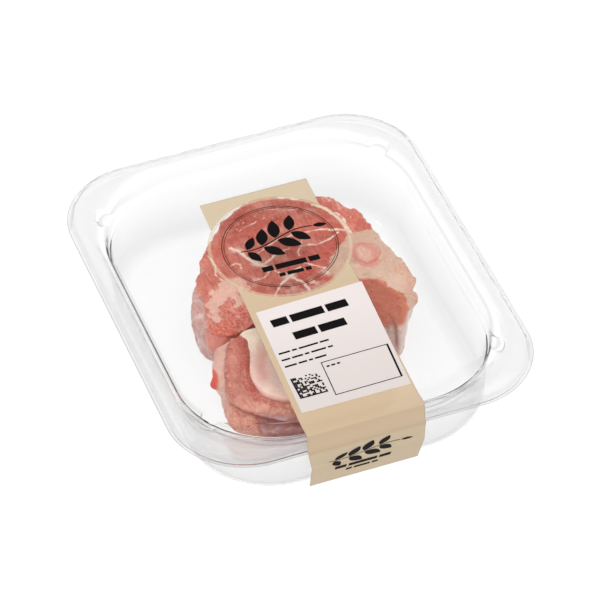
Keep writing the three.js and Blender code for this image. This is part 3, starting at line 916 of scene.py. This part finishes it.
def build_back_slice():
    grid, share, level = slice_grid(BACK_SLICE, 560, back_relief, SLICE_RINGS, tucks=BACK_TUCKS, lean=1.8)
    flat = grid.reshape(-1, 3)
    xy = flat[:, :2]
    top = step(level, 0.9, 1.0)
    fat = depth_in(xy, FAT_RIGHT)
    left = depth_in(xy, FAT_LEFT)
    seam = seam_distance(xy)
    wall = (1 - top) * step(-xy[:, 0], 22, 30)
    fray = step(level, 0.75, 0.95) * step(share, 0.9, 0.96)
    amount = 0.5 * crags(flat, 10, 2, 3) + 0.26 * crags(flat, 3.4, 3, 7)
    amount += top * (-0.2 * bell(np.maximum(seam, 0) / 0.7) + 0.2 * step(seam, 0.3, 3))
    amount += 0.35 * step(fat, -0.6, 0.8) * top
    amount += top * 0.4 * step(left, -1, 1) * (1 + noise(flat, 2, 17))
    amount += wall * 0.8 * noise(flat * (1, 1, 0.3), 4, 31)
    amount += fray * 0.9 * np.maximum(crags(flat, 2.6, 2, 37), -0.2)
    away = np.linalg.norm(xy - BONE_PLACE, axis=1)
    amount *= 1 - step(away, BONE_RADIUS + 2, BONE_RADIUS + 0.5)
    amount -= 0.8 * step(away, BONE_RADIUS - 0.1, BONE_RADIUS - 1.1)
    grid = push(grid, amount)
    grid = pull(grid, [
        ((46.6, 3, 22.4), (1.0, 0.3, 0.3), 6),
        ((48.2, -3.6, 22.2), (2.4, 1.4, 0.9), 1.6),
        ((46.8, -7.6, 21.8), (-0.5, 0, 0), 1.5),
        ((46.4, -13, 21.6), (1.2, 0, 0.4), 4),
        ((46.8, -16.4, 21.4), (1.5, -0.6, 0.5), 1.6),
        ((42.4, -22, 19), (1.0, -1.0, -1.4), 1.5),
        ((38, -27, 14), (0.9, -0.9, -2.0), 1.3),
        ((-37.6, -6.6, 20), (1.2, 1.8, 0), 3.4),
        ((-30.5, 28.5, 21), (2.4, -1.2, 0), 4),
        ((-34.2, 21.4, 21), (0.9, -0.3, 0), 3),
        ((-40, 9, 18), (-0.9, 0, 0), 3),
        ((38, 44, 23.5), (1.0, 0.6, 0), 1.6),
        ((43, 29, 23.5), (0.8, 0.3, 0), 1.6),
    ])
    piece, points = skin("slice_back_flesh", grid)

    xy = points[:, :2]
    x, y, height = points.T
    fat, left = depth_in(xy, FAT_RIGHT), depth_in(xy, FAT_LEFT)
    level = np.append(level, [0, 1])
    top = step(level, 0.88, 0.99)
    wedge = step(fat, 0, -1.2) * step(x, 17, 21) * step(-y, -2, 1)
    grainy = step(depth_in(xy, GRAINY), -1.5, 1.5)
    film = (1 - step(level, 0.75, 0.97)) * step(-x, 26, 32)
    film = np.maximum(film, step(depth_in(xy, MEMBRANE), -1.2, 1.0))
    # Painted light: the back slice's wall in the crease facing the front slice is painted paler, where the
    # front slice shades it
    crease = (1 - top) * step(-y, 0, 4) * step(-x, 6, 12) * step(height, 12, 18)
    strip = (1 - top) * step(x, 22, 26) * step(-y, 17, 21)
    # Painted shade: a dark line for the crease down the side wall at the wedge's lower end
    split_shade = bell((x - 30.2 - 0.08 * (20 - height)) / 0.9) * step(-y, 22, 25) * step(height, 6, 14)
    drawn = points * (1, 1, 0.4)
    set_paint(piece, "flesh", coats(plain(points, 220, 132, 116), [
        ((196, 98, 84), patchy(points, 11, 21, -0.5, 0.6) * 0.7),
        ((230, 164, 148), patchy(points, 5, 23, 0.0, 0.9) * 0.8),
        ((186, 82, 70), patchy(points, 4, 25, 0.2, 0.9) * 0.45),
        ((196, 88, 76), hills(xy, [(26, 30, 8, 0.6), (19, 20, 7, 0.6)])),
        ((203, 84, 70), blob(xy, 9, 8, 8) * 0.8),
        ((216, 128, 108), blob(xy, 36, 33, 8) * 0.8 * patchy(points, 4, 29, -0.6, 0.4)),
        ((252, 230, 214), hills(xy, PALE_SPOTS) * patchy(points, 2.4, 27, -0.5, 0.1)),
        ((188, 113, 91), wedge),
        ((178, 96, 78), wedge * patchy(points, 5, 33, -0.2, 0.9) * 0.7),
        ((214, 136, 106), wedge * step(fat, -3.4, -0.4) * step(x, 30, 36) * 0.7),
        ((228, 132, 114), grainy * 0.95),
        ((230, 172, 154), grainy * patchy(points, 2.6, 35, 0.1, 0.8) * 0.7),
        ((210, 128, 110), blob(xy, -28, 24, 9) * 0.9),
        ((226, 172, 156), step(left, -3, 0) * 0.4),
        ((212, 160, 144), (1 - top) * step(height, 4, 10) * 0.45),
        ((198, 160, 152), film * (0.8 + 0.3 * crags(points, 14, 2, 21))),
        ((224, 196, 190), film * patchy(drawn, 4, 39, 0.2, 0.8) * 0.8),
        ((172, 112, 106), film * patchy(drawn, 5, 41, 0.2, 0.8) * 0.7),
        # painted light on the shaded wall in the crease
        ((236, 150, 134), crease * 0.8),
        ((232, 208, 198), strip),
        # painted shade in the crease
        ((150, 92, 80), split_shade * 0.9),
    ]))
    set_paint(piece, "tallow", coats(ring_paint(points, tallow_paint(points)), [
        ((230, 180, 164), step(left, -3, 0.5)),
        ((206, 158, 142), (1 - top) * 0.6),
        ((232, 212, 204), strip),
    ]))
    left += 2.1 * crags(points, 2.8, 3, 47) * step(left, -4, -1)
    set_field(piece, "fat", np.maximum(fat + 0.7 * crags(points, 4, 2, 49), left))
    set_field(piece, "seam", seam_distance(xy) + 6 * (1 - top))
    set_field(piece, "grainy", grainy * top)
    set_field(piece, "smooth", np.maximum(np.maximum(film, strip), 0.7 * wedge))
    piece.data.materials.append(flesh_look("flesh_back"))
    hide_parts("slice_back_muscle", "slice_back_fat")


def flesh_look(name):
    """Raw meat: painted zones with ragged edges, fibres, specks and a moist sheen."""
    n = Nodes(name)
    ragged = n.grain(2.2, detail=5, rough=0.65)
    fine = n.grain(0.8, rough=0.6)
    fibre = n.grain(1.2, stretch=(1, 0.22, 1), rough=0.6)
    blotch = n.grain(3.6, detail=4, rough=0.6)
    coarse = n.math("SUBTRACT", 1.0, n.times(n.field("smooth"), 0.85))
    grainy = n.field("grainy")
    dark = meat(172, 72, 62)
    shift = n.times(n.math("SUBTRACT", ragged, 0.5), 4.0)
    seam = n.plus(n.field("seam"), n.times(shift, 0.5))
    speck = n.times(n.span(n.cells(2.3), 0.24, 0.12), coarse)
    pick = n.times(n.span(n.cells(2.3, "Color"), 0.66, 0.74), 0.6)
    dot = n.times(n.span(n.cells(1.05), 0.22, 0.1), grainy)
    crumb = n.times(n.span(n.cells(1.05), 0.45, 0.7), grainy)
    tallow = n.coats(
        n.paint("tallow"),
        (meat(242, 214, 196), n.span(fine, 0.45, 0.7, 0, 0.4)),
        (meat(214, 152, 136), n.span(blotch, 0.5, 0.68, 0, 0.3)),
    )
    colour = n.coats(
        n.paint("flesh"),
        (meat(230, 162, 146), n.times(n.span(fine, 0.5, 0.68, 0, 0.42), coarse)),
        (dark, n.times(n.span(fibre, 0.36, 0.56, 0.4, 0), coarse)),
        (meat(190, 84, 72), n.span(blotch, 0.52, 0.7, 0, 0.3)),
        (meat(252, 226, 210), n.span(seam, 0.3, -0.3, 0, 0.95)),
        (meat(246, 214, 198), n.times(speck, pick)),
        (meat(246, 196, 178), n.times(dot, 0.6)),
        (dark, n.times(crumb, 0.5)),
        (tallow, n.span(n.plus(n.field("fat"), shift), -0.4, 0.5)),
    )
    height = n.plus(n.times(fine, 0.7), n.plus(ragged, n.times(fibre, 0.4)))
    look = n.gloss(
        colour,
        n.span(blotch, 0.35, 0.65, 0.26, 0.44),
        0.45,
        Subsurface_Weight=0.1,
        Subsurface_Radius=(1.0, 0.45, 0.3),
        Subsurface_Scale=0.001,
        Normal=n.bump(height, 0.6, 0.55),
    )
    return n.finish(look)


def build_bone():
    """The small sawn bone: a pink ring with a pale spongy middle, set in the fat."""
    count = 120
    t = np.linspace(0, 2 * math.pi, count, endpoint=False)
    reach = BONE_RADIUS * (1 + 0.05 * np.sin(3 * t + 1) + 0.03 * np.sin(5 * t))
    edge = np.stack([reach * np.cos(t), 0.94 * reach * np.sin(t)], 1)

    def ring(share, rise, base=None):
        xy = BONE_PLACE + edge * share
        return np.column_stack([xy, (back_relief(xy) if base is None else np.full(count, base)) + rise])

    rings = [ring(share, drop, BACK_TOP) for share, drop in ((0.3, -22), (0.97, -22), (1, -20))]
    rings += [ring(share, drop) for share, drop in ((1, -1), (0.99, -0.5), (0.96, -0.2), (0.92, 0))]
    rings = soften(np.array(rings).reshape(len(rings), -1), 2).reshape(-1, count, 3)
    inner = []
    for share in np.arange(0.89, 0.03, -0.03):
        inner.append(ring(share, 0.08 + 0.16 * step(-share, -0.89, -0.75) - 0.2 * step(-share, -0.75, -0.5)))
    grid = np.concatenate([rings, inner])
    flat = grid.reshape(-1, 3)
    grid = push(grid, 0.1 * crags(flat, 1.4, 2, 77), calm_rings=8)
    piece, points = skin("bone_sawn", grid)
    set_paint(piece, "flesh", ring_paint(points, tallow_paint(points)))
    n = Nodes("bone")
    pores = n.grain(0.8)
    shade = n.mix(n.span(pores, 0.35, 0.62, 0.35, 0), n.paint("flesh"), meat(206, 128, 114))
    shade = n.mix(n.span(pores, 0.56, 0.72, 0, 0.35), shade, meat(244, 216, 198))
    piece.data.materials.append(n.finish(n.gloss(shade, 0.36, 0.4, Normal=n.bump(pores, 0.4, 0.4))))
    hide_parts("slice_back_bone")


def roll_foot(x):
    """Height on the front slice's side where its upper roll ends in a crease."""
    return 15.6 - 0.21 * (x + 39.4)


def past_roll(x, y):
    """How far a place lies to the left of the roll round the joint."""
    return -x - np.interp(-y, (10, 14, 25, 31, 36), (30, 33.6, 38.5, 40.1, 43))


def build_front_slice():
    def relief(xy):
        near = depth_in(xy, KNUCKLE_EDGE)
        hollow = step(near, -1, 3.4)
        roll = bell((near + 5) / 4.2) * (1 - hollow)
        return front_relief(xy) - 3 * hollow + 0.7 * roll - 1.1 * step(past_roll(*xy.T), -0.3, 1)

    grid, _, level = slice_grid(FRONT_SLICE, 480, relief, SLICE_RINGS, lean=0.4)
    flat = grid.reshape(-1, 3)
    x, y, z = flat.T
    side = 1 - step(level, 0.9, 1)
    facing = step(-y, 33, 40)
    lump = bell(np.linalg.norm((flat - (-38, -41, 8)) / (8, 8, 6), axis=1))
    under = z - roll_foot(x)
    crease = bell(under) * facing * side
    bulge = bell((under - 4) / 2.6) * facing * side
    amount = 0.4 * crags(flat, 9, 2, 43) + 0.24 * crags(flat, 3, 3, 47)
    amount += 2.7 * lump - 1.2 * crease + 0.5 * bulge
    amount += side * step(y, -30, -22) * step(-x, 34, 38) * 0.5 * noise(flat * (1, 1, 0.3), 3, 48)
    grid = push(grid, amount)
    grid = pull(grid, [
        ((-40.2, -21.4, 18.8), (-3.2, 0.5, 0.3), 2.9),
        ((-40.4, -25.2, 16.6), (-4.0, -0.5, 0), 3.1),
    ])
    piece, points = skin("slice_front_flesh", grid)
    xy = points[:, :2]
    x, y, z = points.T
    level = np.append(level, [0, 1])
    low = 1 - step(level, 0.7, 0.95)
    near = depth_in(xy, KNUCKLE_EDGE)
    divide = x + 33.7 - 0.23 * (13 - z)
    film = low * step(divide, -0.4, 0.8)
    past = past_roll(x, y)
    shoulder = step(y, -33, -28) * step(past, 0, 0.8)
    knob = bell(np.linalg.norm((points - (-44.8, -23.4, 17.6)) / (3.2, 4.6, 5), axis=1))
    set_paint(piece, "flesh", coats(plain(points, 208, 140, 122), [
        ((198, 110, 96), step(near, -6, -1.5) * 0.85),
        ((186, 116, 102), step(-near, 5, 9) * step(y, -44, -36) * (1 - low) * 0.7),
        ((232, 174, 152), step(-y, 37, 46) * 0.85),
        ((226, 168, 150), patchy(points, 3.4, 53, 0.1, 0.9) * 0.6),
        ((182, 92, 80), patchy(points, 3, 55, 0.1, 0.9) * 0.4),
        ((226, 166, 144), low * 0.85),
        ((162, 108, 106), film * (0.8 + 0.4 * crags(points, 12, 2, 51))),
        ((212, 176, 176), film * patchy(points * (0.5, 1, 1), 3.4, 57, 0.2, 0.8) * 0.8),
        ((134, 62, 62), low * step(divide, 2, 5) * step(-z, -9, -5) * 0.75),
        ((158, 92, 78), low * bell(divide / 0.6) * step(z, 2, 5) * 0.7),
        ((224, 184, 168), shoulder * 0.9),
        ((200, 140, 126), shoulder * patchy(points * (1, 1, 0.4), 4, 59, 0.1, 0.8) * 0.5),
        ((164, 96, 86), bell(past / 0.6) * step(y, -35, -31) * step(z, 14, 17) * 0.6),
        ((214, 92, 78), step(knob, 0.14, 0.36)),
        # Painted shade: a dark line along the crease where the upper roll ends
        ((146, 84, 78), bell((z - roll_foot(x)) / 0.9) * step(-y, 33, 40) * low * 0.75),
    ]))
    set_paint(piece, "tallow", plain(points, 222, 176, 158))
    set_field(piece, "fat", np.where(low > 0.5, noise(points, 5, 61) * 3 - 2.2, -6))
    set_field(piece, "seam", np.full(len(points), 6.0))
    crumbly = step(near, -7, -2) * step(-y, 10, 16) * step(level, 0.8, 1) * patchy(points, 6, 63, -0.9, 0.1)
    set_field(piece, "grainy", np.maximum(crumbly, low * step(-x, 28, 34) * step(-y, 30, 36) * 0.7))
    set_field(piece, "smooth", np.maximum(film, shoulder))
    piece.data.materials.append(flesh_look("flesh_front"))
    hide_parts("slice_front_muscle")


KNUCKLE_EDGE = smooth_closed(KNUCKLE, 90)
KNUCKLE_GROOVE = [(-19.5, -17), (-22.5, -22.5), (-25, -28), (-25.6, -33)]
KNUCKLE_RINGS = [
    (0.3, 0.7), (0.94, 0.72), (0.99, 0.8), (1, 0.88), (0.995, 0.95), (0.965, 0.985), (0.91, 1), (0.8, 1),
]


def build_knuckle():
    """The pearly end of the joint, a shallow dome with a groove."""

    def groove(xy, width):
        return bell(line_distance(xy, KNUCKLE_GROOVE) / width)

    def relief(xy):
        return knuckle_relief(xy) - 1.9 - 0.5 * groove(xy, 2.4)

    grid = slice_grid(KNUCKLE, 260, relief, KNUCKLE_RINGS, gap=0.45, lean=1.5)[0]
    foot = MEAT_FLOOR + KNUCKLE_RINGS[0][1] * (KNUCKLE_TOP - MEAT_FLOOR)
    grid[:, :, 2] = np.maximum(grid[:, :, 2], foot)
    flat = grid.reshape(-1, 3)
    grid = push(grid, 0.35 * crags(flat, 9, 2, 65) + 0.07 * crags(flat, 2.4, 2, 67))
    piece, points = skin("knuckle_pearly", grid)
    xy = points[:, :2]
    set_paint(piece, "flesh", coats(plain(points, 252, 222, 206), [
        ((236, 208, 204), patchy(points, 8, 71, -0.1, 0.8) * 0.8),
        ((234, 180, 168), patchy(points, 6, 73, 0.1, 0.8) * 0.4),
        ((228, 170, 158), groove(xy, 2.8) * 0.85),
        ((240, 196, 178), step(-depth_in(xy, KNUCKLE_EDGE), -2.2, 0) * 0.5),
        ((252, 236, 214), blob(xy, -23, -11, 6) * 1.6),
    ]))
    n = Nodes("knuckle")
    shade = n.mix(n.span(n.grain(3, detail=4), 0.45, 0.7, 0, 0.4), n.paint("flesh"), meat(230, 206, 198))
    shade = n.mix(n.span(n.grain(1.1), 0.5, 0.35, 0, 0.15), shade, meat(206, 146, 138))
    look = n.gloss(
        shade,
        0.26,
        Subsurface_Weight=0.12,
        Subsurface_Radius=(1.0, 0.6, 0.5),
        Subsurface_Scale=0.0015,
        Normal=n.bump(n.grain(1.6), 0.25, 0.4),
    )
    piece.data.materials.append(n.finish(look))
    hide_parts("slice_front_knuckle")


# Studio

# The sky's brightness, the direction that the lid's flat mirrors to the camera, which is kept dark,
# and the floor's own glow, colour and reach
SKY = 1.8
MIRRORED = (0.256, 0.667, 0.7)
FLOOR_GLOW = 0.88
FLOOR_COLOUR = (0.16, 0.16, 0.16, 1)
FLOOR_REACH = 30.0

# The photograph's camera: its direction in radians, its distance and shifts in metres, and its focal
# length and picture's width in the photograph's pixels
AZIMUTH = -0.36641
ELEVATION = 0.77491
DISTANCE = 1.62383
SHIFT_RIGHT = 0.0013069
SHIFT_UP = 0.016449
FOCUS = 4182.75
PHOTO_WIDTH = 600


def build_floor(scene):
    mesh = bpy.data.meshes.new("floor")
    corners = [(x * FLOOR_REACH, y * FLOOR_REACH, 0) for x, y in ((-1, -1), (1, -1), (1, 1), (-1, 1))]
    mesh.from_pydata(corners, [], [(0, 1, 2, 3)])
    floor = bpy.data.objects.new("floor", mesh)
    floor.location.z = -0.0002
    scene.collection.objects.link(floor)
    n = Nodes("floor_white")
    white = n.add("ShaderNodeBsdfDiffuse", {"Color": FLOOR_COLOUR})
    glow = n.add("ShaderNodeEmission", {"Color": (1, 1, 1, 1), "Strength": FLOOR_GLOW})
    floor.data.materials.append(n.finish(n.add("ShaderNodeAddShader", {0: white, 1: glow})))


def build_sky(scene):
    """A white room to the camera, and to other rays a sky with a dark card, dimmer in reflections."""
    n = Nodes("studio", world=True)
    place = n.add("ShaderNodeTexCoord", output="Generated")
    height = n.add("ShaderNodeSeparateXYZ", {0: place}, "Z")
    toward = n.add("ShaderNodeVectorMath", {0: place, 1: MIRRORED}, "Value", operation="DOT_PRODUCT")
    level = n.times(n.span(height, 0, 1, 0.75, 1, "LINEAR"), n.span(toward, 0.93, 0.74, 0.12))
    low = n.span(height, 0, 0.8, 0.35, 0.7, "LINEAR")
    dim = n.add("ShaderNodeMix", {0: n.ray("Is Glossy Ray"), 2: 1.0, 3: low})
    sky = n.add("ShaderNodeBackground", {"Color": n.times(level, dim), "Strength": SKY})
    white = n.add("ShaderNodeBackground", {"Color": (1, 1, 1, 1)})
    scene.world = n.finish(n.either(n.ray("Is Camera Ray"), sky, white))


def build_lamp(scene, name, place, side, power):
    """A square lamp that faces the pack."""
    data = bpy.data.lights.new(name, "AREA")
    data.size = side
    data.energy = power
    lamp = bpy.data.objects.new(name, data)
    lamp.location = place
    lamp.rotation_euler = (-Vector(place)).to_track_quat("-Z", "Y").to_euler()
    scene.collection.objects.link(lamp)


def build_camera(scene):
    flat = math.cos(ELEVATION)
    away = Vector((math.sin(AZIMUTH) * flat, -math.cos(AZIMUTH) * flat, math.sin(ELEVATION)))
    right = Vector((0, 0, 1)).cross(away).normalized()
    up = away.cross(right)
    data = bpy.data.cameras.new("camera")
    data.sensor_width = 36
    data.lens = FOCUS * data.sensor_width / PHOTO_WIDTH
    data.clip_start = 0.05
    camera = bpy.data.objects.new("camera", data)
    camera.matrix_world = Matrix((right, up, away)).transposed().to_4x4()
    camera.location = away * DISTANCE + right * SHIFT_RIGHT + up * SHIFT_UP
    scene.collection.objects.link(camera)
    scene.camera = camera


def build_studio():
    scene = bpy.context.scene
    scene.view_settings.view_transform = "Standard"
    scene.cycles.transparent_max_bounces = 32
    scene.cycles.max_bounces = 24
    scene.cycles.transmission_bounces = 24
    build_floor(scene)
    build_sky(scene)
    build_lamp(scene, "key", (-0.1, 0.0, 1.5), 1.8, 6)
    build_lamp(scene, "spark", (-0.45, 0.5, 0.9), 0.14, 0.5)
    build_camera(scene)


build_back_slice()
build_bone()
build_front_slice()
build_knuckle()
build_pack()
build_label()
build_print()
build_studio()
